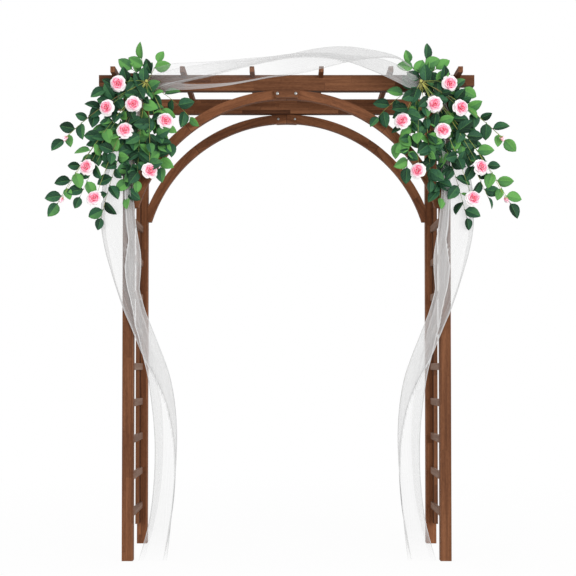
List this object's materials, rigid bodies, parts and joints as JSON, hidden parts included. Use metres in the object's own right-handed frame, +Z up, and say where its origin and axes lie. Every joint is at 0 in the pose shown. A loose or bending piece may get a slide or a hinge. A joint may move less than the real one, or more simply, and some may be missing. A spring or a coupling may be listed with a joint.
{
  "type": "garden arbor",
  "caption": "Stained wooden garden arch with ladder sides, notched head beams, rafters and round arches, dressed with rose bushes and a sheer tulle scarf",
  "frame": {"origin": "on the ground, midway between the four legs", "axes": "X across the passage, Y through the passage away from the dressed side, Z up"},
  "size_m": [2.0598, 0.6363, 2.2472],
  "materials": {
    "stained_wood": "red-brown stain, matt",
    "rung_wood": "red-brown stain, a little greyer",
    "zinc_steel": "zinc-plated",
    "stem_green": "moulded, matt",
    "leaf_silk": "printed polyester leaf, satin",
    "petal_silk": "polyester petal, pale pink with a deep pink heart",
    "tulle": "sheer white net"
  },
  "bodies": {
    "root": {"arch_bolts": "zinc_steel", "beam_bolts": "zinc_steel", "front_arch_plate": "stained_wood", "front_beam": "stained_wood", "front_left_arch_half": "stained_wood", "front_left_leg": "stained_wood", "front_left_side_board": "stained_wood", "front_right_arch_half": "stained_wood", "front_right_leg": "stained_wood", "front_right_side_board": "stained_wood", "left_garland_leaves": "leaf_silk", "left_garland_roses": "petal_silk", "left_garland_stems": "stem_green", "left_rung_01": "rung_wood", "left_rung_02": "rung_wood", "left_rung_03": "rung_wood", "left_rung_04": "rung_wood", "left_rung_05": "rung_wood", "left_rung_06": "rung_wood", "left_rung_07": "rung_wood", "left_rung_08": "rung_wood", "left_rung_09": "rung_wood", "left_rung_10": "rung_wood", "left_rung_11": "rung_wood", "left_tulle_drape": "tulle", "rafter_1": "stained_wood", "rafter_2": "stained_wood", "rafter_3": "stained_wood", "rafter_4": "stained_wood", "rafter_5": "stained_wood", "rafter_6": "stained_wood", "rear_arch_plate": "stained_wood", "rear_beam": "stained_wood", "rear_left_arch_half": "stained_wood", "rear_left_leg": "stained_wood", "rear_left_side_board": "stained_wood", "rear_right_arch_half": "stained_wood", "rear_right_leg": "stained_wood", "rear_right_side_board": "stained_wood", "right_garland_leaves": "leaf_silk", "right_garland_roses": "petal_silk", "right_garland_stems": "stem_green", "right_rung_01": "rung_wood", "right_rung_02": "rung_wood", "right_rung_03": "rung_wood", "right_rung_04": "rung_wood", "right_rung_05": "rung_wood", "right_rung_06": "rung_wood", "right_rung_07": "rung_wood", "right_rung_08": "rung_wood", "right_rung_09": "rung_wood", "right_rung_10": "rung_wood", "right_rung_11": "rung_wood", "right_tulle_drape": "tulle", "tulle_swag": "tulle"}
  },
  "joints": []
}
